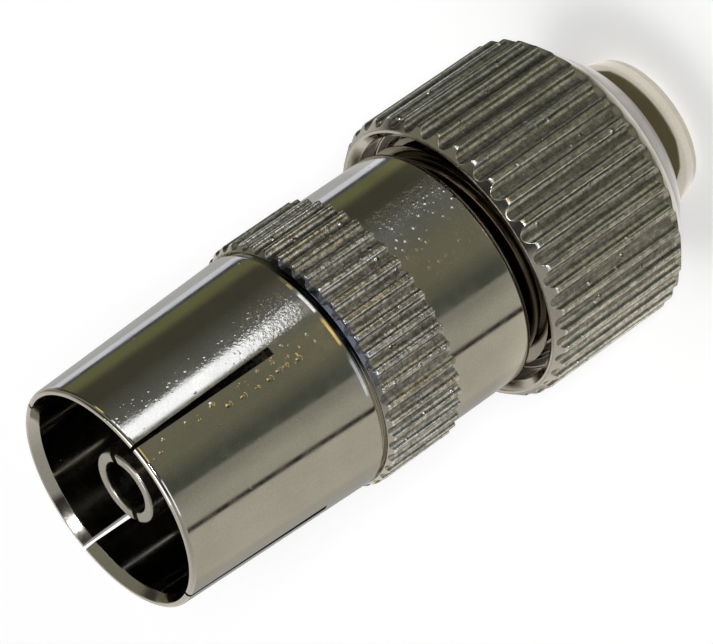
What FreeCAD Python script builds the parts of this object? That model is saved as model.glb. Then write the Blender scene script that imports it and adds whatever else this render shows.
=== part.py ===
import FreeCAD, Part
import math
import os

# A nickel-plated coaxial line socket for 9.5 mm aerial leads.
# Millimetres. The axis is +Z and the open mouth points up.
# The origin is the centre of the cable end, which the socket stands on.

# Mating size and the slotted spring sleeve
mate_dia = 9.5
sleeve_wall = 0.45
sleeve_flare = 0.37
cavity_flare = 0.15
sleeve_len = 9.8
mouth_round = 0.18
mouth_bevel_len = 0.45
mouth_bevel_step = 0.20
sleeve_heel_round = 0.16
slot_count = 4
slot_len = 7.25
slot_mouth_w = 0.18
slot_root_w = 0.40

# Undercut between the sleeve and the collar
undercut_len = 0.49
undercut_depth = 0.22

# Knurled collar of the shell
collar_step = 0.28
collar_len = 3.87
collar_cone_len = 0.26
collar_cone_drop = 0.24
collar_ribs = 44
collar_rib_depth = 0.22
collar_rib_land = 0.22

# Plain barrel and the threaded tube behind it
barrel_step = 0.25
barrel_len = 4.31
barrel_heel_round = 0.30
thread_step = 0.15
thread_depth = 0.50
core_wall = 0.65
tube_end_chamfer = 0.25
tube_end_gap = 0.80

# Bore of the shell and the lip that stops the insulator
cavity_below_sleeve = 0.60
lip_len = 0.80
lip_width = 0.40

# Insulator
insulator_len = 4.20
insulator_fit = 0.02
insulator_edge = 0.15

# Split centre contact, for a 2.4 mm pin
pin_dia = 2.4
contact_wall = 0.50
contact_recess = 0.90
contact_bore_len = 9.0
contact_edge = 0.20
contact_slit_len = 6.5
contact_slit_w = 0.34
contact_slit_turn = -45.0
contact_fit = 0.01
contact_flange_step = 0.60
contact_flange_len = 0.80
cup_wall_inset = 0.20
cup_len = 3.0
cup_bore_dia = 1.5
cup_bore_len = 2.6

# Cable clamp with six spring fingers
claw_clear = 0.10
claw_step = 0.45
claw_wall = 0.70
claw_flange_len = 1.6
claw_fingers = 6
claw_slot_w = 0.60
claw_slot_len = 7.6
claw_tip_back = 1.0
claw_tip_clear = 0.12
claw_turn = 30.0

# Back nut with the cable hole
nut_gap = 0.37
cable_clear = 0.05
neck_wall = 0.75
neck_len = 2.2
foot_inset = 0.45
foot_round = 0.10
shoulder_step = 0.75
tail_cone_len = 2.22
grip_len = 6.68
rim_cone_len = 0.46
rim_cone_drop = 0.35
nut_wall = 1.24
nut_ribs = 39
nut_rib_depth = 0.29
nut_rib_land = 0.26
nut_rib_shift = 0.5
thread_clear = 0.10
counterbore_step = 0.40
counterbore_len = 1.36
countersink_step = 0.35
inner_cone_back = 0.30
inner_cone_len = 3.0
inner_cone_step = 1.70

# Radii of the shell, from the mouth inwards and outwards
mouth_in_r = mate_dia / 2
mouth_out_r = mouth_in_r + sleeve_wall
heel_in_r = mouth_in_r + cavity_flare
heel_out_r = mouth_out_r + sleeve_flare
collar_r = heel_out_r + collar_step
barrel_r = collar_r - barrel_step
thread_r = barrel_r - thread_step
core_r = thread_r - thread_depth
bore_r = core_r - core_wall
lip_r = bore_r - lip_width

# Radii of the clamp and of the nut, from the bore of the shell
claw_flange_r = bore_r - claw_clear
claw_out_r = claw_flange_r - claw_step
claw_in_r = claw_out_r - claw_wall
cable_r = claw_in_r - cable_clear
neck_r = cable_r + neck_wall
shoulder_r = neck_r + shoulder_step
nut_bore_r = thread_r + thread_clear
nut_r = nut_bore_r + nut_wall
inner_cone_r = cable_r + inner_cone_step

# Heights, from the cable end up to the mouth
z_shoulder = neck_len
z_grip_low = z_shoulder + tail_cone_len
z_grip_high = z_grip_low + grip_len
z_rim = z_grip_high + rim_cone_len
z_barrel_low = z_rim + nut_gap
z_barrel_high = z_barrel_low + barrel_len
z_collar_high = z_barrel_high + collar_len
z_sleeve_low = z_collar_high + undercut_len
z_mouth = z_sleeve_low + sleeve_len
z_cavity = z_sleeve_low - cavity_below_sleeve
z_lip = z_cavity - lip_len
z_insulator_low = z_lip - insulator_len
z_inner_cone_low = z_shoulder - inner_cone_back
z_inner_cone_high = z_inner_cone_low + inner_cone_len
z_tube_end = z_inner_cone_high + tube_end_gap
z_claw_tip = z_inner_cone_low + claw_tip_back

# How far a cutting body runs past the face that it cuts
past = 1.0
# How much a knurled blank stands proud before the cutter trims its ribs
knurl_spare = 0.05
centre = FreeCAD.Vector(0, 0, 0)
up = FreeCAD.Vector(0, 0, 1)


def at(r, z):
    """A point of a half section, at radius r and height z."""
    return FreeCAD.Vector(r, 0, z)


def line(a, b):
    """A straight edge between two points of a half section."""
    return Part.LineSegment(a, b).toShape()


def rounded(corner, before, after, radius):
    """The arc of that radius that rounds a corner, as its start, middle and end."""
    u = (before - corner).normalize()
    v = (after - corner).normalize()
    half = u.getAngle(v) / 2
    reach = radius / math.tan(half)
    bisector = (u + v).normalize()
    hub = corner + bisector * (radius / math.sin(half))
    return corner + u * reach, hub - bisector * radius, corner + v * reach


def turned(points):
    """A full turn of a closed half section.

    An entry (r, z) is a sharp corner and (r, z, radius) a rounded one.
    An entry (r, z, mid_r, mid_z) is reached by an arc through (mid_r, mid_z).
    """
    corners = [at(p[0], p[1]) for p in points]
    edges = []
    ends = []
    for i, p in enumerate(points):
        if len(p) == 3:
            start, mid, end = rounded(corners[i], corners[i - 1], corners[(i + 1) % len(points)], p[2])
            edges.append(Part.Arc(start, mid, end).toShape())
            ends.append((start, end))
        else:
            ends.append((corners[i], corners[i]))
    for i, p in enumerate(points):
        if len(p) == 4:
            edges.append(Part.Arc(ends[i - 1][1], at(p[2], p[3]), ends[i][0]).toShape())
        else:
            edges.append(line(ends[i - 1][1], ends[i][0]))
    face = Part.Face(Part.Wire(Part.__sortEdges__(edges)))
    return face.revolve(centre, up, 360)


def rod(r, low, high):
    """A plain round bar on the axis."""
    return Part.makeCylinder(r, high - low, FreeCAD.Vector(0, 0, low))


def polar(r, turn, z):
    """A point at radius r and at a turn in radians about the axis."""
    return FreeCAD.Vector(r * math.cos(turn), r * math.sin(turn), z)


def knurl_cutter(crest_r, depth, land, count, low, high, shift=0):
    """A thick ring whose inner outline leaves narrow ribs between hollow flutes.

    The first rib stands on +X, or that share of a pitch past it.
    """
    pitch = 2 * math.pi / count
    half_land = land / crest_r / 2
    edges = []
    for i in range(count):
        rib = (i + shift) * pitch
        a = polar(crest_r, rib - half_land, low)
        b = polar(crest_r, rib + half_land, low)
        c = polar(crest_r, rib + pitch - half_land, low)
        edges.append(Part.Arc(a, polar(crest_r, rib, low), b).toShape())
        edges.append(Part.Arc(b, polar(crest_r - depth, rib + pitch / 2, low), c).toShape())
    outline = Part.Face(Part.Wire(edges)).extrude(up * (high - low))
    return rod(crest_r + past, low, high).cut(outline)


def radial_cut(r, width_out, width_in, low, high, turn):
    """A wedge-sided saw cut from the axis outwards: width_out at its low end, width_in at its high end."""
    corners = [
        FreeCAD.Vector(0, -width_out / 2, low),
        FreeCAD.Vector(0, width_out / 2, low),
        FreeCAD.Vector(0, width_in / 2, high),
        FreeCAD.Vector(0, -width_in / 2, high),
    ]
    face = Part.Face(Part.makePolygon(corners + corners[:1]))
    blade = face.extrude(FreeCAD.Vector(r, 0, 0))
    blade.rotate(centre, up, turn)
    return blade


def make_shell():
    """The one-piece turned shell: sleeve, knurled collar, barrel and threaded tube."""
    spare_len = knurl_spare * collar_cone_len / collar_cone_drop
    body = turned([
        (mouth_in_r, z_mouth - mouth_bevel_len),
        (mouth_in_r + mouth_bevel_step, z_mouth),
        (mouth_out_r, z_mouth, mouth_round),
        (heel_out_r, z_sleeve_low, sleeve_heel_round),
        (heel_out_r - undercut_depth, z_sleeve_low),
        (heel_out_r - undercut_depth, z_collar_high),
        (collar_r - collar_cone_drop, z_collar_high),
        (collar_r + knurl_spare, z_collar_high - collar_cone_len - spare_len),
        (collar_r + knurl_spare, z_barrel_high),
        (barrel_r, z_barrel_high),
        (barrel_r, z_barrel_low, barrel_heel_round),
        (core_r, z_barrel_low),
        (core_r, z_tube_end + tube_end_chamfer),
        (core_r - tube_end_chamfer, z_tube_end),
        (bore_r, z_tube_end),
        (bore_r, z_lip),
        (lip_r, z_lip),
        (lip_r, z_cavity),
        (heel_in_r, z_cavity),
    ])
    body = body.cut(knurl_cutter(collar_r, collar_rib_depth, collar_rib_land, collar_ribs,
                                 z_barrel_high, z_collar_high))
    narrowing = (slot_root_w - slot_mouth_w) / slot_len
    for i in range(slot_count):
        body = body.cut(radial_cut(heel_out_r + past, slot_root_w, slot_mouth_w - narrowing * past,
                                   z_mouth - slot_len, z_mouth + past, i * 360 / slot_count))
    return body


def make_insulator():
    """A stepped bush: its boss fills the lip, its body stops against it."""
    hole_r = pin_dia / 2 + contact_wall + contact_fit
    return turned([
        (hole_r, z_cavity),
        (lip_r - insulator_fit, z_cavity),
        (lip_r - insulator_fit, z_lip),
        (bore_r - insulator_fit, z_lip),
        (bore_r - insulator_fit, z_insulator_low + insulator_edge),
        (bore_r - insulator_fit - insulator_edge, z_insulator_low),
        (hole_r, z_insulator_low),
    ])


def make_contact():
    """A split tube for the mating pin, with a flange and a solder cup behind the insulator."""
    bore = pin_dia / 2
    out = bore + contact_wall
    cup_bore = cup_bore_dia / 2
    front = z_mouth - contact_recess
    bore_end = front - contact_bore_len
    flange_low = z_insulator_low - contact_flange_len
    cup_low = flange_low - cup_len
    cup_end = cup_low + cup_bore_len
    body = turned([
        (0, bore_end - bore / 2),
        (bore, bore_end),
        (bore, front - contact_edge),
        (bore + contact_edge, front),
        (out, front, contact_edge),
        (out, z_insulator_low),
        (out + contact_flange_step, z_insulator_low),
        (out + contact_flange_step, flange_low),
        (out - cup_wall_inset, flange_low),
        (out - cup_wall_inset, cup_low),
        (cup_bore, cup_low),
        (cup_bore, cup_end),
        (0, cup_end + cup_bore / 2),
    ])
    for side in (0, 180):
        body = body.cut(radial_cut(out + past, contact_slit_w, contact_slit_w,
                                   front - contact_slit_len, front + past, contact_slit_turn + side))
    return body


def make_claw():
    """A flanged ring with spring fingers that the cone of the nut closes on the cable."""
    cone_slope = inner_cone_step / inner_cone_len
    tip_r = cable_r + claw_tip_back * cone_slope - claw_tip_clear
    z_taper = z_claw_tip + (claw_out_r - tip_r) / cone_slope
    body = turned([
        (claw_in_r, z_insulator_low),
        (claw_flange_r, z_insulator_low),
        (claw_flange_r, z_insulator_low - claw_flange_len),
        (claw_out_r, z_insulator_low - claw_flange_len),
        (claw_out_r, z_taper),
        (tip_r, z_claw_tip),
        (claw_in_r, z_claw_tip),
    ])
    for i in range(claw_fingers):
        body = body.cut(radial_cut(claw_flange_r + past, claw_slot_w, claw_slot_w,
                                   z_claw_tip - past, z_claw_tip + claw_slot_len,
                                   claw_turn + i * 360 / claw_fingers))
    return body


def make_nut():
    """The knurled back nut: domed neck round the cable hole, threaded bore, open rim."""
    dome = (foot_inset ** 2 + neck_len ** 2) / (2 * foot_inset)
    dome_mid_r = neck_r - dome + math.sqrt(dome ** 2 - (neck_len / 2) ** 2)
    spare_tail = knurl_spare * tail_cone_len / (nut_r - shoulder_r)
    spare_rim = knurl_spare * rim_cone_len / rim_cone_drop
    mouth_r = nut_bore_r + counterbore_step
    body = turned([
        (cable_r, foot_round),
        (cable_r + foot_round, 0),
        (neck_r - foot_inset, 0),
        (neck_r, z_shoulder, dome_mid_r, neck_len / 2),
        (shoulder_r, z_shoulder),
        (nut_r + knurl_spare, z_grip_low + spare_tail),
        (nut_r + knurl_spare, z_grip_high - spare_rim),
        (nut_r - rim_cone_drop, z_rim),
        (mouth_r + countersink_step, z_rim),
        (mouth_r, z_rim - countersink_step),
        (mouth_r, z_rim - counterbore_len),
        (nut_bore_r, z_rim - counterbore_len),
        (nut_bore_r, z_inner_cone_high),
        (inner_cone_r, z_inner_cone_high),
        (cable_r, z_inner_cone_low),
    ])
    return body.cut(knurl_cutter(nut_r, nut_rib_depth, nut_rib_land, nut_ribs,
                                 z_shoulder, z_rim + past, nut_rib_shift))


os.makedirs("parts", exist_ok=True)
nodes = {
    "shell": make_shell(),
    "insulator": make_insulator(),
    "centre_contact": make_contact(),
    "cable_clamp": make_claw(),
    "back_nut": make_nut(),
}
for name, solid in nodes.items():
    solid.exportStep("parts/" + name + ".step")
    print(name, solid.isValid(), len(solid.Solids), round(solid.Volume, 3))
print("length", round(z_mouth, 3), "across", round(2 * nut_r, 3))
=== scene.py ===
import bpy
import math
import numpy as np
from mathutils import Matrix, Vector


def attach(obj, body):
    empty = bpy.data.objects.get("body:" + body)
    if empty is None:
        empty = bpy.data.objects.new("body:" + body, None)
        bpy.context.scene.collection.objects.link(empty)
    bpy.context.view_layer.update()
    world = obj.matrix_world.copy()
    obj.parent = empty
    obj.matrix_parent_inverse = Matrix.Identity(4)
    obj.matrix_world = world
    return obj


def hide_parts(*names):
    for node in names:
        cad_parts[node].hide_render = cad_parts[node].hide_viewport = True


# A nickel-plated coaxial line socket, standing on its cable end with the open mouth up.
# Lengths in the shapes are millimetres and become metres when a mesh is made.
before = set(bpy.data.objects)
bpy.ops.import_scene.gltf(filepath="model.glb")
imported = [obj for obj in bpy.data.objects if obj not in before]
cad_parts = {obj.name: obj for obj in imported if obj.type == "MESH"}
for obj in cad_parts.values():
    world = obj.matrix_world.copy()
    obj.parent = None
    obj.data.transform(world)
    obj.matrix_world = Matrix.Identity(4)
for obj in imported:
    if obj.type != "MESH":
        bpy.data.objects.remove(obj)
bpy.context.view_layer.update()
MM = 0.001
TURN = 2 * np.pi

# Turned heights, from the cable end to the mouth
Z_SHOULDER, Z_GRIP_LOW, Z_GRIP_HIGH, Z_RIM = 2.2, 4.42, 11.10, 11.56
Z_BARREL_LOW, Z_BARREL_HIGH, Z_COLLAR_HIGH = 11.93, 16.24, 20.17
Z_SLEEVE_LOW, Z_MOUTH = 20.42, 30.40
Z_CAVITY, Z_LIP, Z_INSULATOR = 20.0, 19.2, 15.0
Z_CONE_LOW, Z_CONE_HIGH, Z_TUBE_END = 1.9, 4.9, 5.7
Z_TUBE_THREAD, Z_NUT_THREAD = Z_TUBE_END + 0.35, Z_CONE_HIGH + 0.5

# Sleeve: the number of wedge slots, their length and their width at both ends, the bevel
# in the mouth, and the height and slope of the narrow band at the heel
SLOTS, SLOT_LENGTH, SLOT_AT_MOUTH, SLOT_AT_ROOT = 4, 7.25, 0.18, 0.40
Z_SLOT_ROOT = Z_MOUTH - SLOT_LENGTH
BEVEL_LENGTH, BEVEL_STEP = 0.45, 0.20
HEEL_BAND, HEEL_TILT = 0.20, 0.007

# Radii of the shell and of the nut, then the nut's inner steps and the thread
R_MOUTH_IN, R_MOUTH_OUT, R_HEEL_IN, R_HEEL_OUT = 4.75, 5.20, 4.90, 5.57
R_UNDERCUT, R_COLLAR, R_COLLAR_FRONT, R_BARREL = 5.35, 5.85, 5.61, 5.60
R_CORE, R_BORE, R_LIP, R_THREAD = 4.95, 4.30, 3.90, 5.45
R_CABLE, R_NECK, R_FOOT, R_SHOULDER = 3.00, 3.75, 3.30, 4.50
R_NUT, R_RIM, R_NUT_BORE, R_COUNTERBORE, R_INNER_CONE = 6.79, 6.44, 5.55, 5.95, 4.70
R_NUT_THREAD = 5.02
COUNTERBORE_DEPTH, RIM_BEVEL = 1.36, 0.35
THREAD_PITCH, THREAD_PHASE = 0.75, 0.6

# Knurls: ribs, depth of a flute, width of a rib's land and softness of its edges, then
# how far each front cone falls for a millimetre outwards, and a rib's front facet
COLLAR_RIBS, COLLAR_DEPTH, COLLAR_LAND, COLLAR_SOFT = 44, 0.22, 0.22, 0.07
NUT_RIBS, NUT_DEPTH, NUT_LAND, NUT_SOFT = 39, 0.29, 0.26, 0.08
COLLAR_SLOPE = 0.22 / (R_COLLAR - R_COLLAR_FRONT)
RIM_SLOPE = (Z_RIM - Z_GRIP_HIGH) / (R_NUT - R_RIM)
TIP_FALL = 3.08


# ---- shapes ----

def section(corners, steps=4, lead=0.05):
    """Half section as rows of points, with rounded corners.

    Each corner (r, z, round) becomes an arc tangent to both of its sides,
    hub = corner + bisector * round / sin(half angle), with a short straight lead
    on either side. r and z may be arrays, one value for each station round the axis.
    Returns r and z as rows by stations, and the corner that each row came from.
    """
    wide = max(np.size(v) for c in corners for v in c[:2])
    p = np.array([[np.broadcast_to(v, wide) for v in c[:2]] for c in corners], float)
    rounds = np.array([c[2] for c in corners])
    before = np.roll(p, 1, axis=0) - p
    after = np.roll(p, -1, axis=0) - p
    len_after = np.linalg.norm(after, axis=1)
    len_before = np.linalg.norm(before, axis=1)
    u = before / np.maximum(len_before, 1e-9)[:, None]
    v = after / np.maximum(len_after, 1e-9)[:, None]
    half = np.arccos(np.clip((u * v).sum(axis=1), -1, 1)) / 2
    reach = rounds[:, None] / np.tan(np.clip(half, 0.05, np.pi / 2))
    spare_after = np.minimum(lead, (len_after - reach - np.roll(reach, -1, axis=0)) / 3)
    spare_before = np.roll(spare_after, 1, axis=0)
    rows, source = [], []
    for k, (corner, radius) in enumerate(zip(p, rounds)):
        if radius == 0:
            rows.append(corner[None])
            source.append(k)
            continue
        start = corner + u[k] * reach[k]
        end = corner + v[k] * reach[k]
        bisector = u[k] + v[k]
        bisector = bisector / np.maximum(np.linalg.norm(bisector, axis=0), 1e-9)
        hub = corner + bisector * radius / np.sin(half[k])
        sweep = np.maximum(np.pi - 2 * half[k], 1e-4)
        t = np.linspace(0, 1, steps)[:, None, None]
        swing = np.sin((1 - t) * sweep) * (start - hub) + np.sin(t * sweep) * (end - hub)
        arc = hub + swing / np.sin(sweep)
        rows.append((start + u[k] * spare_before[k])[None])
        rows.append(arc)
        rows.append((end + v[k] * spare_after[k])[None])
        source += [k] * (steps + 2)
    rows = np.concatenate(rows)
    return rows[:, 0], rows[:, 1], np.array(source)


def knurl(count, crest, depth, land, soft, shift=0.0):
    """Angle and radius of every station round a straight knurl.

    A rib has a land on the crest circle. A flute is an arc through both land edges and
    the point at depth under the crest, and its meeting with the land is a quadratic
    Bezier curve of that softness. Station 0 is the middle of the rib on +X, or that
    share of a pitch past it.
    """
    pitch = TURN / count
    delta = pitch / 2 - land / crest / 2
    h = crest * math.sin(delta)
    s = crest * math.cos(delta) - (crest - depth)
    arc_r = (h * h + s * s) / (2 * s)
    hub = crest - depth + arc_r
    steep = math.asin(min(1.0, h / arc_r))
    if hub > crest * math.cos(delta):
        steep = min(steep, math.pi / 2)
    phi = steep - soft / arc_r
    p0 = crest * np.array([math.cos(delta + soft / crest), -math.sin(delta + soft / crest)])
    p1 = crest * np.array([math.cos(delta), -math.sin(delta)])
    p2 = np.array([hub - arc_r * math.cos(phi), -arc_r * math.sin(phi)])
    t = np.linspace(0, 1, 4)[:, None]
    left = (1 - t) ** 2 * p0 + 2 * t * (1 - t) * p1 + t ** 2 * p2
    floor_phi = np.linspace(phi, -phi, 7)[1:-1]
    flute = np.stack([hub - arc_r * np.cos(floor_phi), -arc_r * np.sin(floor_phi)], axis=1)
    right = left[::-1] * [1, -1]
    crest_mid = crest * np.array([[math.cos(pitch / 2), -math.sin(pitch / 2)]])
    unit = np.concatenate([crest_mid, left, flute, right])
    angle = np.arctan2(unit[:, 1], unit[:, 0]) + pitch / 2
    turn = ((np.arange(count)[:, None] + shift) * pitch + angle).ravel()
    return turn, np.tile(np.hypot(unit[:, 0], unit[:, 1]), count)


def rib_end(r, z, slope, crest, depth, front):
    """Corners of a rib's front end: its side, a small facet, and the front cone.

    The facet's width is tip = least + more * (1 - depth under the crest / a fifth of the
    flute), so it is broad on the land and nearly none in a flute. r and z are where side
    and cone would meet. A short lead on each side keeps the shading of both flat.
    """
    least, more, lead_behind, lead_ahead = 0.004, 0.046, 0.04, 0.03
    tip = least + more * np.clip(1 - (crest - r) / (0.2 * depth), 0, 1)
    ahead = np.minimum(lead_ahead, (r - tip - front) / 2)
    return [
        (r, z + tip * (slope - TIP_FALL) - lead_behind, 0),
        (r, z + tip * (slope - TIP_FALL), 0),
        (r - tip, z + tip * slope, 0),
        (r - tip - ahead, z + (tip + ahead) * slope, 0),
    ]


def around(r, z, turn):
    """Cylinder coordinates to points: (r cos turn, r sin turn, z)."""
    r, z, turn = np.broadcast_arrays(r, z, turn)
    return np.stack([r * np.cos(turn), r * np.sin(turn), z], axis=-1)


def skin(points, ring=True, slots=(), deep=0):
    """Faces over a grid of rows by stations, closed round the stations.

    With ring the rows close on themselves too. Without it, the first and last rows are
    poles and each collapses to one point. A slot (a, c, b) leaves out the cells between
    the stations a and b over deep rows on each side of row 0, and closes the cut with
    two side walls and a root.
    """
    rows, cols = points.shape[:2]
    index = np.arange(rows * cols).reshape(rows, cols)
    if not ring:
        index[0] = index[0, 0]
        index[-1] = index[-1, 0]
    i = np.arange(rows if ring else rows - 1)[:, None]
    j = np.arange(cols)[None]
    down, side = (i + 1) % rows, (j + 1) % cols
    keep = np.ones((len(i), cols), bool)
    walls = []
    k = np.arange(deep)
    for a, c, b in slots:
        for col in (a, c):
            keep[k, col] = False
            keep[-1 - k, col] = False
        for upper, lower, col in ((k + 1, k, b), (k, k + 1, a)):
            corners = [(upper, col), (lower, col), (-lower % rows, col), (-upper % rows, col)]
            walls.append(np.stack([index[c] for c in corners], axis=1))
        for near, far in ((a, c), (c, b)):
            corners = [(deep, near), (deep, far), (-deep, far), (-deep, near)]
            walls.append(np.array([[index[c] for c in corners]]))
    quads = np.broadcast_arrays(index[i, j], index[down, j], index[down, side], index[i, side])
    quads = np.stack(quads, axis=-1)
    faces = np.concatenate([quads[keep]] + walls)
    return points.reshape(-1, 3), faces


def flipped(surface):
    """The same surface with its faces turned to the other side."""
    return surface[0], surface[1][:, ::-1]


def helix(root, crest, low, high, pitch, phase, inward=False):
    """A thread ridge: a trapezium carried up a right-hand helix, z = pitch * turn / 2 pi.

    Its height fades in and out over the first and last 0.3 turn.
    """
    per_turn, runout = 56, 0.3
    turns = (high - low) / pitch
    t = np.linspace(0, turns, int(turns * per_turn) + 1)
    fade = np.clip(np.minimum(t, turns - t) / runout, 0, 1)
    fade = fade * fade * (3 - 2 * fade)
    sign = -1 if inward else 1
    tall = abs(crest - root)
    across = np.array([-0.29, -0.05, 0.05, 0.29, 0.29, -0.29])
    height = np.array([0.0, 1.0, 1.0, 0.0, -0.08, -0.08]) * tall
    r = root + sign * np.where(height > 0, height * fade[:, None], height)
    z = low + (t * pitch)[:, None] + across * np.maximum(fade, 0.02)[:, None] * pitch
    points = around(r, z, (t * TURN)[:, None] + phase)
    points[0] = points[0].mean(axis=0)
    points[-1] = points[-1].mean(axis=0)
    surface = skin(points, ring=False)
    return surface if inward else flipped(surface)


def piece(name, surfaces, material, body, nodes, sharp=32):
    """One mesh object from several closed surfaces, at its place in the frame.

    Corners of a face that fall together become one. Edges over sharp degrees stay sharp.
    """
    points, faces, shift = [], [], 0
    for v, f in surfaces:
        points.append(v)
        faces.append(f + shift)
        shift += len(v)
    points, faces = np.concatenate(points), np.concatenate(faces)
    used = np.unique(faces)
    renumber = np.zeros(len(points), int)
    renumber[used] = np.arange(len(used))
    points, faces = points[used] * MM, renumber[faces]
    follows = faces != np.roll(faces, 1, axis=1)
    counts = follows.sum(axis=1)
    faces, follows = faces[counts > 2], follows[counts > 2]
    counts = counts[counts > 2]
    mesh = bpy.data.meshes.new(name)
    mesh.vertices.add(len(points))
    mesh.vertices.foreach_set("co", points.ravel())
    mesh.loops.add(int(counts.sum()))
    mesh.loops.foreach_set("vertex_index", faces[follows].astype(np.int32))
    mesh.polygons.add(len(counts))
    starts = np.concatenate([[0], np.cumsum(counts)[:-1]])
    mesh.polygons.foreach_set("loop_start", starts.astype(np.int32))
    mesh.update(calc_edges=True)
    mesh.validate()
    mesh.polygons.foreach_set("use_smooth", np.ones(len(mesh.polygons), bool))
    mesh.set_sharp_from_angle(angle=math.radians(sharp))
    mesh.materials.append(material)
    obj = bpy.data.objects.new(name, mesh)
    bpy.context.scene.collection.objects.link(obj)
    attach(obj, body)
    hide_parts(*nodes)


def even_turns(half_cut, count, cuts):
    """Stations spread evenly between slots: turn = half_cut + share * (sector - 2 half_cut).

    Station 0 of each sector is the middle of a slot, and 1 and the last are its edges.
    """
    sector = TURN / cuts
    share = np.arange(count - 1) / (count - 2)
    a = np.atleast_1d(half_cut)[:, None]
    one = np.concatenate([np.zeros_like(a), a + share * (sector - 2 * a)], axis=1)
    return (np.arange(cuts)[None, :, None] * sector + one[:, None, :]).reshape(len(a), -1)


def slot_stations(count, cuts):
    """The stations before, in and after each slot."""
    return [((m - 1) % (count * cuts), m, m + 1) for m in np.arange(cuts) * count]


def shell_surfaces():
    """The turned shell: sleeve with wedge slots, knurled collar, barrel and tube.

    The sleeve's radius grows evenly with depth under the mouth, r = mouth + slope *
    depth. Stations follow the knurl on the collar and the slots elsewhere, where the two
    beside each slot lie on its flat sides, y = half its width.
    """
    turn_k, r_k = knurl(COLLAR_RIBS, R_COLLAR, COLLAR_DEPTH, COLLAR_LAND, COLLAR_SOFT)
    z_run = Z_COLLAR_HIGH - (r_k - R_COLLAR_FRONT) * COLLAR_SLOPE
    heel_slope = (R_HEEL_OUT - R_MOUTH_OUT) / (Z_MOUTH - Z_SLEEVE_LOW)
    bore_slope = (R_HEEL_IN - R_MOUTH_IN) / (Z_MOUTH - Z_CAVITY)
    r_root_out = R_MOUTH_OUT + heel_slope * SLOT_LENGTH
    r_root_in = R_MOUTH_IN + bore_slope * SLOT_LENGTH
    lip_spread = heel_slope * BEVEL_LENGTH
    slot_root, groove_top, barrel_top = 3, 7, 14
    corners = [
        (R_MOUTH_IN + BEVEL_STEP + 0.03, Z_MOUTH, 0),
        (R_MOUTH_OUT, Z_MOUTH, 0.17),
        (R_MOUTH_OUT + lip_spread, Z_MOUTH - BEVEL_LENGTH, 0.06),
        (r_root_out, Z_SLOT_ROOT, 0),
        (R_HEEL_OUT - HEEL_BAND * heel_slope, Z_SLEEVE_LOW + HEEL_BAND, 0.02),
        (R_HEEL_OUT - HEEL_BAND * (heel_slope - HEEL_TILT), Z_SLEEVE_LOW, 0.03),
        (R_UNDERCUT, Z_SLEEVE_LOW, 0.04),
        (R_UNDERCUT, Z_COLLAR_HIGH, 0.02),
        (R_COLLAR_FRONT, Z_COLLAR_HIGH, 0.004),
    ] + rib_end(r_k, z_run, COLLAR_SLOPE, R_COLLAR, COLLAR_DEPTH, R_COLLAR_FRONT)[::-1] + [
        (r_k, Z_BARREL_HIGH, 0.012),
        (R_BARREL, Z_BARREL_HIGH, 0.012),
        (R_BARREL, Z_BARREL_LOW, 0.30),
        (R_CORE, Z_BARREL_LOW, 0.05),
        (R_CORE, Z_TUBE_END + 0.25, 0),
        (R_CORE - 0.25, Z_TUBE_END, 0),
        (R_BORE, Z_TUBE_END, 0.05),
        (R_BORE, Z_LIP, 0),
        (R_LIP, Z_LIP, 0),
        (R_LIP, Z_CAVITY, 0.05),
        (R_HEEL_IN, Z_CAVITY, 0.10),
        (r_root_in, Z_SLOT_ROOT, 0),
        (R_MOUTH_IN, Z_MOUTH - BEVEL_LENGTH, 0.06),
        (R_MOUTH_IN + BEVEL_STEP, Z_MOUTH, 0.012),
    ]
    r, z, source = section(corners)
    stations = len(turn_k)
    count = stations // SLOTS
    width = np.interp(Z_MOUTH - z[:, 0], [0, SLOT_LENGTH], [SLOT_AT_MOUTH, SLOT_AT_ROOT])
    turn = even_turns(np.arcsin(width / 2 / r[:, 0]), count, SLOTS)
    knurled = (source >= groove_top) & (source <= barrel_top)
    points = around(r, z, np.where(knurled[:, None], turn_k, turn))
    for m in np.arange(SLOTS) * count:
        cos, sin = math.cos(TURN * m / stations), math.sin(TURN * m / stations)
        for side in (1, -1):
            col = (m + side) % stations
            y = side * width / 2
            x = np.sqrt(r[:, col] ** 2 - y ** 2)
            cut = np.stack([x * cos - y * sin, x * sin + y * cos, z[:, col]], axis=1)
            points[~knurled, col] = cut[~knurled]
    deep = int(np.flatnonzero(source == slot_root)[0])
    body = skin(points, slots=slot_stations(count, SLOTS), deep=deep)
    ridge = helix(R_CORE, R_THREAD, Z_TUBE_THREAD, Z_BARREL_LOW - 0.28, THREAD_PITCH, THREAD_PHASE)
    return [body, ridge]


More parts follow.
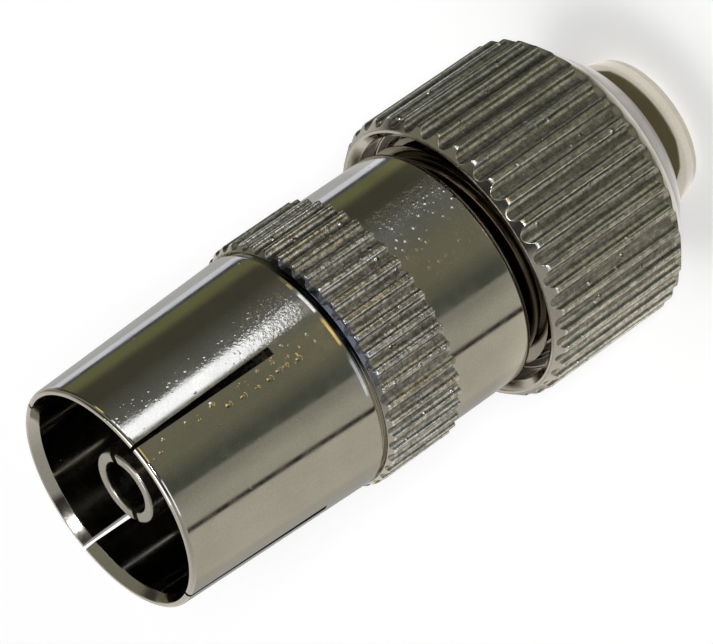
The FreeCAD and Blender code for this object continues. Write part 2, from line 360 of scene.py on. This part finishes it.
def nut_surfaces():
    """The knurled back nut: domed neck round the cable hole, open rim and threaded bore.

    The dome is a circular arc from the neck at the shoulder to the foot, with radius
    (bulge squared + height squared) / (2 * bulge). Its thread runs half a pitch off the
    tube's, so that ridges meet grooves.
    """
    turn_k, r_k = knurl(NUT_RIBS, R_NUT, NUT_DEPTH, NUT_LAND, NUT_SOFT, shift=0.5)
    tail_slope = (Z_GRIP_LOW - Z_SHOULDER) / (R_NUT - R_SHOULDER)
    z_tail = Z_SHOULDER + (r_k - R_SHOULDER) * tail_slope
    z_front = Z_RIM - (r_k - R_RIM) * RIM_SLOPE
    bulge = R_NECK - R_FOOT
    dome = (bulge ** 2 + Z_SHOULDER ** 2) / (2 * bulge)
    heights = np.linspace(0, Z_SHOULDER, 9)[1:-1][::-1]
    arc = [(R_NECK - dome + math.sqrt(dome ** 2 - (Z_SHOULDER - h) ** 2), h, 0) for h in heights]
    corners = [
        (R_COUNTERBORE + RIM_BEVEL, Z_RIM, 0.04),
        (R_RIM, Z_RIM, 0.03),
    ] + rib_end(r_k, z_front, RIM_SLOPE, R_NUT, NUT_DEPTH, R_RIM)[::-1] + [
        (r_k, z_tail, 0.06),
        (R_SHOULDER, Z_SHOULDER, 0.12),
        (R_NECK, Z_SHOULDER, 0.08),
    ] + arc + [
        (R_FOOT, 0, 0.05),
        (R_CABLE + 0.10, 0, 0.04),
        (R_CABLE, 0.10, 0.04),
        (R_CABLE, Z_CONE_LOW, 0),
        (R_INNER_CONE, Z_CONE_HIGH, 0),
        (R_NUT_BORE, Z_CONE_HIGH, 0),
        (R_NUT_BORE, Z_RIM - COUNTERBORE_DEPTH, 0.04),
        (R_COUNTERBORE, Z_RIM - COUNTERBORE_DEPTH, 0.04),
        (R_COUNTERBORE, Z_RIM - RIM_BEVEL, 0.05),
    ]
    r, z, _ = section(corners)
    phase = THREAD_PHASE + np.pi + (Z_NUT_THREAD - Z_TUBE_THREAD) / THREAD_PITCH * TURN
    ridge = helix(
        R_NUT_BORE, R_NUT_THREAD, Z_NUT_THREAD, Z_RIM - COUNTERBORE_DEPTH - 0.19,
        THREAD_PITCH, phase, inward=True)
    return [skin(around(r, z, turn_k)), ridge]


def slotted_tube(corners, root, cuts, count, slot_width, first_turn):
    """A slotted tube from its half section, whose slots end at the corner root.

    The slot sides are flat: y = half the slot width. Near the axis, where that would
    miss the section, the radius counts as 0.6 of the slot width.
    """
    r, z, source = section(corners)
    safe = np.maximum(r[:, 0], slot_width * 0.6)
    turn = even_turns(np.arcsin(slot_width / 2 / safe), count, cuts) + math.radians(first_turn)
    deep = int(np.flatnonzero(source == root)[0])
    return skin(around(r, z, turn), slots=slot_stations(count, cuts), deep=deep)


def contact_surfaces():
    """The split contact tube: pin bore, flange and solder cup, with a drill point in each."""
    bore, out, flange, cup, pocket = 1.2, 1.7, 2.3, 1.5, 0.75
    front, tail = 29.5, 11.2
    root, flange_low = front - 6.5, Z_INSULATOR - 0.8
    corners = [
        ((bore + out) / 2 + 0.05, front, 0),
        (out, front, 0.10),
        (out, root, 0),
        (out, Z_INSULATOR, 0),
        (flange, Z_INSULATOR, 0.05),
        (flange, flange_low, 0.05),
        (cup, flange_low, 0.04),
        (cup, tail, 0.05),
        (pocket, tail, 0.05),
        (pocket, 13.8, 0),
        (0.0, 14.175, 0),
        (0.0, 19.9, 0),
        (bore, 20.5, 0),
        (bore, root, 0),
        (bore, front - 0.02, 0.06),
    ]
    return [slotted_tube(corners, 2, cuts=2, count=56, slot_width=0.34, first_turn=-45)]


def clamp_surfaces():
    """The clamp, with its rows from the finger tips up the bore and back down outside."""
    flange, out, inner, tip_r = 4.20, 3.75, 3.05, 3.4467
    tip = 2.9
    root, flange_low = tip + 7.6, Z_INSULATOR - 1.6
    z_taper = tip + (out - tip_r) / (1.7 / 3.0)
    corners = [
        ((inner + tip_r) / 2, tip, 0),
        (inner, tip, 0.08),
        (inner, z_taper, 0),
        (inner, root, 0),
        (inner, Z_INSULATOR, 0.05),
        (flange, Z_INSULATOR, 0.05),
        (flange, flange_low, 0.05),
        (out, flange_low, 0.05),
        (out, root, 0),
        (out, z_taper, 0),
        (tip_r, tip, 0.08),
    ]
    return [slotted_tube(corners, 3, cuts=6, count=28, slot_width=0.60, first_turn=30)]


def insulator_surfaces():
    """The stepped insulating bush."""
    hole, fit, chamfer = 1.71, 0.02, 0.15
    corners = [
        (hole, Z_CAVITY, 0.06),
        (R_LIP - fit, Z_CAVITY, 0.06),
        (R_LIP - fit, Z_LIP, 0),
        (R_BORE - fit, Z_LIP, 0.05),
        (R_BORE - fit, Z_INSULATOR + chamfer, 0),
        (R_BORE - fit - chamfer, Z_INSULATOR, 0),
        (hole, Z_INSULATOR, 0),
    ]
    r, z, _ = section(corners)
    return [skin(around(r, z, np.linspace(0, TURN, 128, endpoint=False)))]


# ---- materials ----

def shade(colour, share):
    """A colour times a share."""
    return tuple(c * share for c in colour)


def material(name):
    """An empty node material with its output and Principled shader."""
    m = bpy.data.materials.new(name)
    m.use_nodes = True
    nodes = m.node_tree.nodes
    nodes.clear()
    out = nodes.new("ShaderNodeOutputMaterial")
    shader = nodes.new("ShaderNodeBsdfPrincipled")
    m.node_tree.links.new(shader.outputs["BSDF"], out.inputs["Surface"])
    return m, m.node_tree, shader


def noise(tree, coords, scale, detail, rough=0.55):
    """A noise texture on object coordinates, scale in cells per metre."""
    n = tree.nodes.new("ShaderNodeTexNoise")
    n.inputs["Scale"].default_value = scale
    n.inputs["Detail"].default_value = detail
    n.inputs["Roughness"].default_value = rough
    tree.links.new(coords, n.inputs["Vector"])
    return n.outputs["Fac"]


def ramp(tree, value, stops):
    """A colour ramp from (place, colour) stops."""
    r = tree.nodes.new("ShaderNodeValToRGB")
    tree.links.new(value, r.inputs["Fac"])
    e = r.color_ramp.elements
    while len(e) > 1:
        e.remove(e[-1])
    for k, (place, colour) in enumerate(stops):
        stop = e[0] if k == 0 else e.new(place)
        stop.position = place
        stop.color = (*colour, 1)
    return r.outputs["Color"]


def maths(tree, kind, *values):
    """A math node over sockets and numbers."""
    n = tree.nodes.new("ShaderNodeMath")
    n.operation = kind
    for k, v in enumerate(values):
        if isinstance(v, (int, float)):
            n.inputs[k].default_value = v
        else:
            tree.links.new(v, n.inputs[k])
    return n.outputs["Value"]


def smooth_span(tree, value, low, high, to_low=0.0, to_high=1.0):
    """A smooth step of a value between two limits."""
    n = tree.nodes.new("ShaderNodeMapRange")
    n.interpolation_type = "SMOOTHSTEP"
    for key, v in (("From Min", low), ("From Max", high), ("To Min", to_low), ("To Max", to_high)):
        n.inputs[key].default_value = v
    tree.links.new(value, n.inputs["Value"])
    return n.outputs["Result"]


def blend(tree, share, first, second):
    """A colour mix: first at share 0 and second at share 1, each a colour or a socket."""
    n = tree.nodes.new("ShaderNodeMix")
    n.data_type = "RGBA"
    tree.links.new(share, n.inputs["Factor"])
    for key, v in (("A", first), ("B", second)):
        socket = [i for i in n.inputs if i.name == key and i.type == "RGBA"][0]
        if isinstance(v, tuple):
            socket.default_value = (*v, 1)
        else:
            tree.links.new(v, socket)
    return [o for o in n.outputs if o.type == "RGBA"][0]


def specks(tree, coords, cell, size, share):
    """Round specks: the smooth fall from 1 to 0 with distance from a cell's point.

    Cell and size are in millimetres. Only that share of the cells has a speck, picked by
    the cell's own random tone.
    """
    v = tree.nodes.new("ShaderNodeTexVoronoi")
    v.inputs["Scale"].default_value = 1 / (cell * MM)
    tree.links.new(coords, v.inputs["Vector"])
    pick = tree.nodes.new("ShaderNodeSeparateColor")
    tree.links.new(v.outputs["Color"], pick.inputs["Color"])
    here = smooth_span(tree, pick.outputs["Red"], 1 - share, 1 - share + 0.12)
    grown = maths(tree, "MULTIPLY_ADD", pick.outputs["Green"], 0.7, 0.5)
    far = maths(tree, "DIVIDE", v.outputs["Distance"], grown)
    return maths(tree, "MULTIPLY", smooth_span(tree, far, 0, size / cell, 1, 0), here)


def between(tree, value, low, high, soft):
    """Share that is 1 between two lengths in millimetres and fades out over soft inside them."""
    above = smooth_span(tree, value, low * MM, (low + soft) * MM)
    return maths(tree, "MULTIPLY", above, smooth_span(tree, value, (high - soft) * MM, high * MM, 1, 0))


def scaled_by(tree, colour, share):
    """A colour socket times a value socket."""
    n = tree.nodes.new("ShaderNodeVectorMath")
    n.operation = "SCALE"
    tree.links.new(colour, n.inputs[0])
    tree.links.new(share, n.inputs["Scale"])
    return n.outputs[0]


def near_turn(tree, place, turn, spread):
    """Share that is 1 near a turn about the axis and fades out at spread, in degrees."""
    angle = maths(tree, "ARCTAN2", place.outputs["Y"], place.outputs["X"])
    off = maths(tree, "ABSOLUTE", maths(tree, "SUBTRACT", angle, math.radians(turn)))
    return smooth_span(tree, off, math.radians(spread * 0.4), math.radians(spread), 1, 0)


def worn_patch(tree, place, turn, spread, low, high):
    """Share of a worn patch: 1 near a turn in degrees and between two heights, fading out."""
    wide = near_turn(tree, place, turn, spread)
    above = smooth_span(tree, place.outputs["Z"], (low - 0.6) * MM, low * MM)
    under = smooth_span(tree, place.outputs["Z"], high * MM, (high + 4) * MM, 1, 0)
    return maths(tree, "MULTIPLY", wide, maths(tree, "MULTIPLY", above, under))


def scaled(tree, coords, stretch):
    """Coordinates times a stretch along x, y and z."""
    n = tree.nodes.new("ShaderNodeVectorMath")
    n.operation = "MULTIPLY"
    tree.links.new(coords, n.inputs[0])
    n.inputs[1].default_value = stretch
    return n.outputs[0]


def raise_by(tree, shader, height, strength):
    """Relief on a shader: heights in steps of a hundredth of a millimetre."""
    bump = tree.nodes.new("ShaderNodeBump")
    bump.inputs["Strength"].default_value = strength
    bump.inputs["Distance"].default_value = 0.01 * MM
    tree.links.new(height, bump.inputs["Height"])
    tree.links.new(bump.outputs["Normal"], shader.inputs["Normal"])


def knurl_painted_light_and_relief(tree, coords, place, reach, belt, colour, beads):
    """Tone, dullness and relief of a knurled belt, and the share of the plate it covers.

    The tone follows the depth under the crest radius and is painted light: painted
    highlights on the rib edges and on a paler line above the floor of the flute, and
    painted shade on the walls and floor of the flute. The belt (crest, depth, low, r, z,
    slope) runs from the height low up to the front cone through (r, z).
    """
    crest, depth, low, r_front, z_front, slope = belt
    rim = smooth_span(tree, reach, (crest - depth - 0.12) * MM, (crest - depth - 0.06) * MM)
    cone = maths(tree, "MULTIPLY_ADD", reach, slope, place.outputs["Z"])
    under = maths(tree, "SUBTRACT", (z_front + r_front * slope) * MM, cone)
    rim = maths(tree, "MULTIPLY", rim, smooth_span(tree, under, 0.003 * MM, 0.012 * MM))
    span = between(tree, place.outputs["Z"], low, z_front + 1, 0.1)
    on_belt = maths(tree, "MULTIPLY", rim, span)
    deep = maths(tree, "DIVIDE", maths(tree, "SUBTRACT", crest * MM, reach), depth * MM)
    # painted highlights on the rib edges and a line in the flute, painted shade on its walls and floor
    stops = [(at, tuple(min(1.0, c * k) for c in colour)) for at, k in KNURL_HIGHLIGHT_AND_SHADE_TONES]
    streaks = noise(tree, scaled(tree, coords, (1, 1, 0.07)), 9000, 3, 0.6)
    grit = noise(tree, coords, 15000, 2, 0.6)
    mottle = maths(
        tree, "MULTIPLY", smooth_span(tree, streaks, 0.3, 0.7, 0.65, 1.25),
        smooth_span(tree, grit, 0.35, 0.65, 0.78, 1.18))
    beaded = smooth_span(tree, noise(tree, coords, 4500, 2, 0.5), 0.38, 0.62, 1 - beads, 1 + beads)
    mottle = maths(tree, "MULTIPLY", mottle, beaded)
    tone = scaled_by(tree, ramp(tree, deep, stops), mottle)
    dull = maths(tree, "MULTIPLY", on_belt, smooth_span(tree, deep, 0.2, 0.35))
    dull = maths(tree, "MULTIPLY_ADD", dull, 0.12, maths(tree, "MULTIPLY", on_belt, 0.06))
    rough_cut = maths(tree, "ADD", noise(tree, coords, 5200, 2, 0.5), streaks)
    torn = maths(tree, "MULTIPLY", on_belt, maths(tree, "MULTIPLY_ADD", rough_cut, 2.0, -2.0))
    chips = maths(tree, "MULTIPLY", on_belt, specks(tree, coords, 0.60, 0.13, 0.7))
    return on_belt, tone, dull, maths(tree, "MULTIPLY_ADD", chips, 9.0, torn)


def nickel(name, colour, rough=0.10, belt=(), beads=0.0, patches=(), shade_zones=()):
    """Bright nickel plate: warm grey, with soft stains, a fine grain and a few raised specks.

    A worn patch (turn, spread, low, high, waves, and the cell, size and share of its
    specks) is rough, and lies on the outer walls alone. The belt is the knurled part, with
    painted highlights and shade in its tone. Each zone (inner and outer radius, low, high,
    tone, and maybe a turn and its spread) is darker: painted shade.
    """
    m, tree, shader = material(name)
    coords = tree.nodes.new("ShaderNodeTexCoord").outputs["Object"]
    place = tree.nodes.new("ShaderNodeSeparateXYZ")
    tree.links.new(coords, place.inputs[0])
    stain = noise(tree, coords, 420, 4)
    tint = ramp(tree, stain, [(0.35, shade(colour, 0.92)), (0.65, shade(colour, 1.02))])
    grain = smooth_span(tree, noise(tree, coords, 14000, 1, 0.5), 0.3, 0.7, 0.96, 1.04)
    tint = scaled_by(tree, tint, grain)
    haze = noise(tree, coords, 1500, 5, 0.6)
    sheen = smooth_span(tree, haze, 0.3, 0.75, rough * 0.7, rough * 1.4)
    height = maths(tree, "MULTIPLY", specks(tree, coords, 0.41, 0.09, 0.2), 0.5)
    length = tree.nodes.new("ShaderNodeVectorMath")
    length.operation = "LENGTH"
    tree.links.new(scaled(tree, coords, (1, 1, 0)), length.inputs[0])
    reach = length.outputs["Value"]
    outside = smooth_span(tree, reach, (R_MOUTH_OUT - 0.20) * MM, (R_MOUTH_OUT - 0.10) * MM)
    for turn, spread, low, high, waves, cell, size, share in patches:
        worn = maths(tree, "MULTIPLY", outside, worn_patch(tree, place, turn, spread, low, high))
        peel = smooth_span(tree, noise(tree, coords, 7500, 1.5, 0.5), 0.30, 0.70)
        dots = maths(tree, "MULTIPLY", specks(tree, coords, cell, size, share), size / 0.07)
        both = maths(tree, "MULTIPLY_ADD", peel, waves, dots)
        height = maths(tree, "MULTIPLY_ADD", worn, both, height)
    if belt:
        on_belt, tone, dull, relief = knurl_painted_light_and_relief(tree, coords, place, reach, belt, colour, beads)
        # the belt's tone paints highlights and shade on the knurl
        tint = blend(tree, on_belt, tint, tone)
        sheen = maths(tree, "ADD", sheen, dull)
        height = maths(tree, "ADD", height, relief)
    # painted shade: each zone's darker tone laid over the plate
    for inner, outer, low, high, tone, *sector in shade_zones:
        dark = maths(
            tree, "MULTIPLY", between(tree, place.outputs["Z"], low, high, 0.05),
            between(tree, reach, inner, outer, 0.03))
        if sector:
            dark = maths(tree, "MULTIPLY", dark, near_turn(tree, place, *sector))
        tint = blend(tree, dark, tint, tone)
    shader.inputs["Metallic"].default_value = 1.0
    tree.links.new(tint, shader.inputs["Base Color"])
    tree.links.new(sheen, shader.inputs["Roughness"])
    raise_by(tree, shader, height, 1.0)
    return m


def plastic(name, colour):
    """Moulded plastic with a faint waxy grain."""
    m, tree, shader = material(name)
    coords = tree.nodes.new("ShaderNodeTexCoord").outputs["Object"]
    tone = noise(tree, coords, 900, 3)
    tint = ramp(tree, tone, [(0.3, shade(colour, 0.93)), (0.7, colour)])
    tree.links.new(tint, shader.inputs["Base Color"])
    shader.inputs["Roughness"].default_value = 0.42
    raise_by(tree, shader, noise(tree, coords, 6000, 3), 0.2)
    return m


# Share of the plate's colour at each depth under a knurl's crest, as a share of the flute:
# painted highlights on the rib edges and on a line in the flute, painted shade on its
# walls and floor
KNURL_HIGHLIGHT_AND_SHADE_TONES = [
    (0.0, 1.0), (0.03, 0.9), (0.06, 2.0), (0.20, 1.9), (0.28, 0.42), (0.52, 0.42),
    (0.66, 1.35), (0.80, 1.2), (0.90, 0.50),
]

# Where the worn patches begin above the sleeve's heel
Z_WEAR = Z_SLEEVE_LOW + 0.9

plate = nickel(
    "bright_nickel", (0.60, 0.57, 0.50), beads=0.28,
    belt=(R_COLLAR, COLLAR_DEPTH, Z_BARREL_HIGH, R_COLLAR_FRONT, Z_COLLAR_HIGH, COLLAR_SLOPE),
    patches=[
        (-77, 13, Z_WEAR, 22.5, 0.22, 0.16, 0.07, 0.55),
        (-75, 7, Z_WEAR, 30.0, 0.12, 0.16, 0.07, 0.5),
        (-98, 10, Z_WEAR, 25.0, 0.0, 0.30, 0.10, 0.45),
        (-84, 26, Z_BARREL_LOW, 14.0, 0.10, 0.30, 0.14, 0.6),
        (-71, 9, Z_BARREL_LOW, 13.2, 0.5, 0.24, 0.12, 0.85),
        (-97, 6, 22.5, 27.5, 0.0, 0.38, 0.17, 0.7),
    ],
    shade_zones=[
        # painted shade, a little brown, on the threaded tube in the gap under the nut, and painted
        # shade inside the sleeve
        (0, R_THREAD + 0.08, Z_TUBE_END - 1, Z_BARREL_LOW - 0.02, (0.30, 0.27, 0.22)),
        (0, R_HEEL_IN + 0.06, Z_LIP - 0.5, Z_MOUTH - BEVEL_LENGTH - 0.04, (0.34, 0.33, 0.30)),
        # painted shade in the groove between sleeve and collar, and painted bluish shade on the
        # collar's front cone, each on one side only
        (R_UNDERCUT - 0.1, R_COLLAR_FRONT + 0.02, Z_COLLAR_HIGH - 0.1, Z_SLEEVE_LOW + 0.04,
         (0.03, 0.03, 0.04), -86, 46),
        (R_COLLAR_FRONT - 0.03, R_COLLAR + 0.1, Z_COLLAR_HIGH - 0.3, Z_COLLAR_HIGH + 0.1,
         (0.17, 0.18, 0.22), -88, 60),
    ])
nut_plate = nickel(
    "knurled_nickel", (0.58, 0.55, 0.48), rough=0.12, beads=0.2,
    belt=(R_NUT, NUT_DEPTH, Z_GRIP_LOW, R_RIM, Z_RIM, RIM_SLOPE),
    # painted shade inside the nut's bore and counterbore
    shade_zones=[(0, R_COUNTERBORE - 0.05, Z_CONE_LOW, Z_RIM - 0.4, (0.12, 0.11, 0.10))])
contact_plate = nickel(
    "contact_nickel", (0.42, 0.40, 0.35), rough=0.24,
    # painted shade inside the pin bore
    shade_zones=[(0, 1.26, 14.0, 29.3, (0.20, 0.19, 0.17))])
clamp_plate = nickel("satin_nickel", (0.60, 0.57, 0.50), rough=0.28)
bush_plastic = plastic("black_bush", (0.04, 0.04, 0.04))

piece("turned_shell", shell_surfaces(), plate, "shell_body", ["shell"])
piece("split_contact", contact_surfaces(), contact_plate, "shell_body", ["centre_contact"])
piece("insulating_bush", insulator_surfaces(), bush_plastic, "shell_body", ["insulator"])
piece("finger_clamp", clamp_surfaces(), clamp_plate, "clamp_body", ["cable_clamp"])
piece("knurled_nut", nut_surfaces(), nut_plate, "nut_body", ["back_nut"])


# ---- studio ----

def flat_sheet(name, size, height, surface):
    """A square studio sheet at that height."""
    mesh = bpy.data.meshes.new(name)
    s = size / 2
    mesh.from_pydata([(-s, -s, height), (s, -s, height), (s, s, height), (-s, s, height)], [], [(0, 1, 2, 3)])
    mesh.materials.append(surface)
    obj = bpy.data.objects.new(name, mesh)
    bpy.context.scene.collection.objects.link(obj)


def seen(tree):
    """Share that is 1 for what the camera sees, also in glossy surfaces."""
    path = tree.nodes.new("ShaderNodeLightPath")
    return maths(tree, "MAXIMUM", path.outputs["Is Camera Ray"], path.outputs["Is Glossy Ray"])


def white_paper(name, colour, glow):
    """Matt pale paper that also glows a little for the camera and in glossy surfaces."""
    m, tree, shader = material(name)
    coords = tree.nodes.new("ShaderNodeTexCoord").outputs["Object"]
    tone = noise(tree, coords, 60, 2)
    tint = ramp(tree, tone, [(0.2, shade(colour, 0.985)), (0.8, colour)])
    tree.links.new(tint, shader.inputs["Base Color"])
    shader.inputs["Roughness"].default_value = 0.9
    shader.inputs["Specular IOR Level"].default_value = 0.1
    shader.inputs["Emission Color"].default_value = (1, 1, 1, 1)
    tree.links.new(maths(tree, "MULTIPLY", seen(tree), glow), shader.inputs["Emission Strength"])
    return m


flat_sheet("floor", 6.0, 0.0, white_paper("floor_paper", (0.93, 0.93, 0.93), 0.26))


def soft_light(name, azimuth, elevation, size, power):
    """A square soft box a metre away, aimed at the middle of the socket."""
    lamp = bpy.data.lights.new(name, "AREA")
    lamp.shape = "SQUARE"
    lamp.size = size
    lamp.energy = power
    obj = bpy.data.objects.new(name, lamp)
    a, e = math.radians(azimuth), math.radians(elevation)
    aim = Vector((0, 0, 0.016))
    away = Vector((math.cos(a) * math.cos(e), math.sin(a) * math.cos(e), math.sin(e)))
    obj.location = aim + away
    obj.rotation_euler = away.to_track_quat("Z", "Y").to_euler()
    bpy.context.scene.collection.objects.link(obj)


soft_light("key_box", -102, 27, 0.11, 5.2)
soft_light("top_box", 60, 84, 0.6, 2.4)


# Glowing cards lying round the socket, which paint the plate's reflections, light and
# dark, from one compass angle to another, in degrees. The plate shows them as upright
# stripes. Between two cards the tone runs over smoothly.
REFLECTION_CARDS = [
    (-180, -170.0, (0.56, 0.54, 0.48)),
    (-168.5, -165.5, (0.02, 0.02, 0.02)),
    (-163.5, -152.0, (0.44, 0.44, 0.385)),
    (-138.0, -134.0, (0.31, 0.31, 0.27)),
    (-131.5, -123.0, (0.09, 0.10, 0.08)),
    (-106.0, -84.0, (0.19, 0.19, 0.14)),
    (-58.0, -52.0, (0.15, 0.16, 0.15)),
    (-24.0, -4.0, (0.07, 0.07, 0.05)),
    (6.0, 18.0, (0.165, 0.172, 0.085)),
    (21.0, 25.0, (0.07, 0.08, 0.09)),
    (27.0, 35.0, (0.82, 0.86, 1.0)),
    (38.0, 46.0, (0.52, 0.53, 0.53)),
    (58.0, 60.0, (0.47, 0.48, 0.49)),
    (84.0, 112.0, (0.41, 0.41, 0.41)),
    (126.0, 130.0, (0.47, 0.455, 0.405)),
    (138.0, 180.0, (0.56, 0.54, 0.48)),
]


# Painted highlights: glowing strips on the standing card, upright, and in short on the
# low card: compass angles, then the tone
HIGHLIGHT_STRIPS = [
    (-150, -114, (1.5, 1.6, 1.8)),
    (-98, -80, (1.1, 0.85, 0.35)),
    (-70, -48, (2.0, 2.1, 2.4)),
    (-38, -26, (1.0, 0.8, 0.35)),
]


# Painted highlights on the band at the sleeve's heel: narrow glowing strips between the
# collar's and the sleeve's share of the low card, seen only in that band
HEEL_HIGHLIGHT_STRIPS = [
    (-154, -120, (1.5, 1.7, 2.1)),
    (-107, -80, (2.4, 1.7, 0.60)),
    (-75, -52, (3.0, 2.9, 3.1)),
    (-47, -37, (1.1, 0.85, 0.35)),
]


# How far the painted reflection pattern is turned near the foot, at some compass angles,
# and where its pale part under the nut's neck ends
LEAN = ([-180, -150, -130, -60, 0, 20, 40, 120, 180], [2, 2, 2, 0, 10, 12, 14, 0, 2])
PALE_REFLECTION_EDGE = (
    [-180, -165, -150, -125, -67, -40, -20, 0, 40, 160, 180],
    [5.3, 5.0, 4.4, 4.1, 4.15, 4.2, 4.7, 5.5, 8.0, 6.0, 5.3],
)


def rising(value, start, span):
    """Share that runs from 0 at the start to 1 a span further on, in a straight line.

    A negative span makes it fall from 1 to 0 as the value grows.
    """
    return np.clip((value - start) / span, 0, 1)


def laid(tone, share, colour):
    """A tone covered with a colour in that share."""
    return tone + share[..., None] * (np.asarray(colour) - tone)


def bands(turn, reach):
    """Tone of the low card at a compass angle in degrees and a reach in millimetres.

    Over the stripes lie a white bar, from 56 mm out, and the two rows of strips, all painted
    highlights. The nut sees the part from 10 to 28.5 mm, which is a little brighter, and its
    neck the rest, a painted dark reflection with a pale painted reflection nearest the foot.
    """
    turn = turn + np.interp(turn, *LEAN) * np.clip((72 - reach) / 40, -0.3, 1)
    ends = np.array([angle for low, high, tone in REFLECTION_CARDS for angle in (low, high)])
    tones = np.array([tone for low, high, tone in REFLECTION_CARDS for angle in (low, high)])
    tone = np.stack([np.interp(turn, ends, tones[:, k]) for k in range(3)], axis=-1)
    # painted highlight: a white bar seen in the sleeve
    bar = rising(turn, -73, 2) * rising(turn, -55.5, -5) * rising(reach, 56, 8)
    tone = laid(tone, bar, (1.6, 1.7, 1.9))
    for strips, inner, outer, share in ((HIGHLIGHT_STRIPS, 41, 45, 0.7), (HEEL_HIGHLIGHT_STRIPS, 46.8, 48.8, 1.0)):
        near = rising(reach, inner - 1, 2) * rising(reach, outer + 1, -2)
        for low, high, colour in strips:
            lit = near * rising(turn, low, 2) * rising(turn, high, -2)
            tone = laid(tone, lit, share * np.array(colour))
    # painted brighter reflection where the nut looks
    grip = rising(reach, 10, 3) * rising(reach, 28.5, -2)
    tone = tone * (1 + 0.24 * grip)[..., None]
    # painted dark reflection on the nut's neck
    neck = rising(reach, 7.6, -0.8) * rising(turn, -176, 8) * rising(turn, -2, -8)
    tone = laid(tone, neck, (0.12, 0.105, 0.06))
    # painted pale reflection nearest the foot
    foot = rising(reach, np.interp(turn, *PALE_REFLECTION_EDGE), -0.12)
    pale = np.interp(reach, [3.76, 3.88], [1.05, 0.85])[..., None] * np.array([1.0, 0.97, 0.93])
    return laid(tone, foot, pale)


def wall_tone(turn, rise):
    """Tone of the standing card: pale at the sides and dark between, with lit strips.

    turn is the compass angle in degrees and rise the height in millimetres. The strips
    fade out at 56 mm, and an olive belt stands above them on one side. All of it is painted
    reflection, pale, dark and highlight, on a card that glows and lights nothing.
    """
    ends = [-180, -138, -130, 18, 30, 60, 110, 180]
    level = np.interp(turn, ends, [0.50, 0.48, 0.05, 0.05, 0.50, 0.85, 0.85, 0.50])
    tone = level[..., None] * np.array([1.0, 0.97, 0.92])
    tone = tone * (1 - 0.3 * rising(rise, 0, 220))[..., None]
    olive = rising(rise, 50, 8) * rising(rise, 140, -20) * rising(turn, -82, 6) * rising(turn, 60, -20)
    tone = laid(tone, olive, (0.24, 0.24, 0.19))
    # painted highlights
    for low, high, colour in HIGHLIGHT_STRIPS:
        lit = rising(turn, low, 2) * rising(turn, high, -2) * rising(rise, 56, -12)
        tone = laid(tone, lit, colour)
    return tone


def reflection_card(name, points, tone):
    """A glowing card over a grid of points, seen only in glossy surfaces: a painted reflection that lights
    nothing.
    """
    m = bpy.data.materials.new(name)
    m.use_nodes = True
    tree = m.node_tree
    tree.nodes.clear()
    out = tree.nodes.new("ShaderNodeOutputMaterial")
    glow = tree.nodes.new("ShaderNodeEmission")
    paint = tree.nodes.new("ShaderNodeAttribute")
    paint.attribute_name = "tone"
    tree.links.new(paint.outputs["Color"], glow.inputs["Color"])
    tree.links.new(glow.outputs[0], out.inputs["Surface"])
    rows, cols = points.shape[:2]
    index = np.arange(rows * cols).reshape(rows, cols)
    side = np.roll(index, -1, axis=1)
    faces = np.stack([index[:-1], index[1:], side[1:], side[:-1]], axis=-1).reshape(-1, 4)
    mesh = bpy.data.meshes.new(name)
    mesh.from_pydata((points.reshape(-1, 3) * MM).tolist(), [], faces.tolist())
    paint_layer = mesh.color_attributes.new("tone", "FLOAT_COLOR", "POINT")
    rgba = np.concatenate([tone.reshape(-1, 3), np.ones((rows * cols, 1))], axis=1)
    paint_layer.data.foreach_set("color", rgba.astype(np.float32).ravel())
    mesh.materials.append(m)
    obj = bpy.data.objects.new(name, mesh)
    bpy.context.scene.collection.objects.link(obj)
    obj.visible_camera = False
    obj.visible_diffuse = False
    obj.visible_shadow = False
    obj.visible_transmission = False


# The low card of painted reflections lies 0.3 mm over the floor, and the standing card
# goes round its edge
CARD_EDGE, CARD_LIFT = 150.0, 0.3
compass = np.arange(-180, 180, 0.5)[None]
rings = [np.linspace(3.38, 6, 45), np.linspace(6.2, 9, 12), np.linspace(10, 80, 71), [CARD_EDGE]]
reach = np.concatenate(rings)[:, None]
reflection_card("low_reflection_card", around(reach, CARD_LIFT, np.radians(compass)), bands(*np.broadcast_arrays(compass, reach)))
rise = np.array([0, 6, 14, 24, 34, 44, 50, 56, 62, 80, 100, 120, 140, 180, 220, 300.0])[:, None]
reflection_card(
    "standing_reflection_card", around(CARD_EDGE, rise + CARD_LIFT, np.radians(compass)),
    wall_tone(*np.broadcast_arrays(compass, rise)))

# A white sky, brighter where it is seen than as a light
world = bpy.data.worlds.new("studio")
world.use_nodes = True
tree = world.node_tree
sky = tree.nodes["Background"]
sky.inputs["Color"].default_value = (1, 1, 1, 1)
tree.links.new(maths(tree, "MULTIPLY_ADD", seen(tree), 0.40, 0.38), sky.inputs["Strength"])
bpy.context.scene.world = world

# ---- camera, at the place and roll from which the photograph was taken ----
cam_data = bpy.data.cameras.new("camera")
cam_data.lens = 255.87
cam_data.sensor_width = 36.0
cam_data.clip_start, cam_data.clip_end = 0.01, 20.0
camera = bpy.data.objects.new("camera", cam_data)
bpy.context.scene.collection.objects.link(camera)
look = Vector((0.19212073, 0.87393845, -0.44645404))
across = Vector((-0.63747254, -0.23474716, -0.73384095))
upward = Vector((0.74613563, -0.42558825, -0.51201197))
turn_rows = [[across[k], upward[k], -look[k]] for k in range(3)]
camera.rotation_mode = "QUATERNION"
camera.rotation_quaternion = Matrix(turn_rows).to_quaternion()
camera.location = (-0.04032567, -0.18409455, 0.11064189)
bpy.context.scene.camera = camera
bpy.context.scene.view_settings.view_transform = "Standard"
